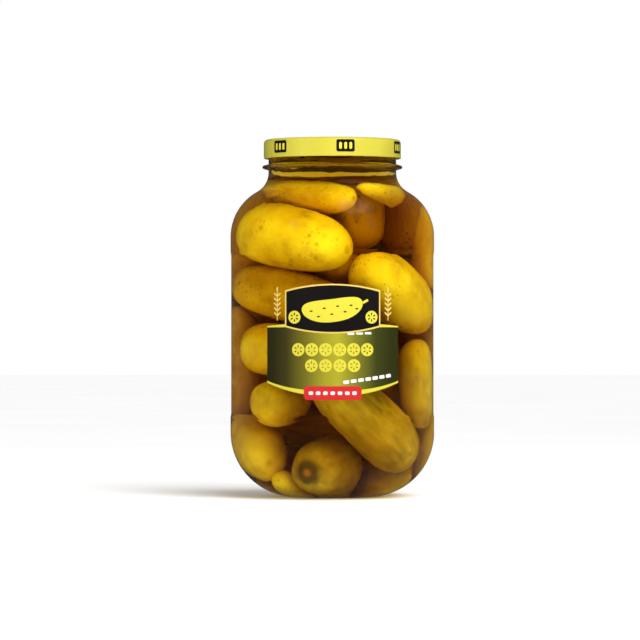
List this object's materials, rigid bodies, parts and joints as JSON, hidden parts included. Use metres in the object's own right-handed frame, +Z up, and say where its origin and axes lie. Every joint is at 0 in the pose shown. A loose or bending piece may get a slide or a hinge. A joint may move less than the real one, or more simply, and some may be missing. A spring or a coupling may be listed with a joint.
{
  "type": "glass jar of whole pickles",
  "caption": "Large round glass jar of whole pickles in brine, closed by a twist-off metal lid, with a wrapped front label.",
  "frame": {"origin": "centre of the jar's base, on the surface it stands on", "axes": "+Z up along the jar's axis; the label faces -Y; +X is to the right of someone who faces the label"},
  "size_m": [0.155, 0.155, 0.2715],
  "materials": {
    "glass": "clear polished soda-lime glass",
    "lid_paint": "glossy yellow lacquer on tinplate",
    "brine": "clear amber liquid",
    "pickle_skin": "wet speckled yellow-ochre pickle skin",
    "label_green": "printed film, green field",
    "label_black": "printed film, black plaque",
    "label_yellow": "printed film, yellow ink",
    "label_gold": "printed film, gold ink",
    "label_red": "printed film, red ink",
    "label_white": "printed film, white ink"
  },
  "bodies": {
    "root": {"jar": "glass", "lid": "lid_paint", "brine": "brine", "label": "label_green"}
  },
  "joints": []
}
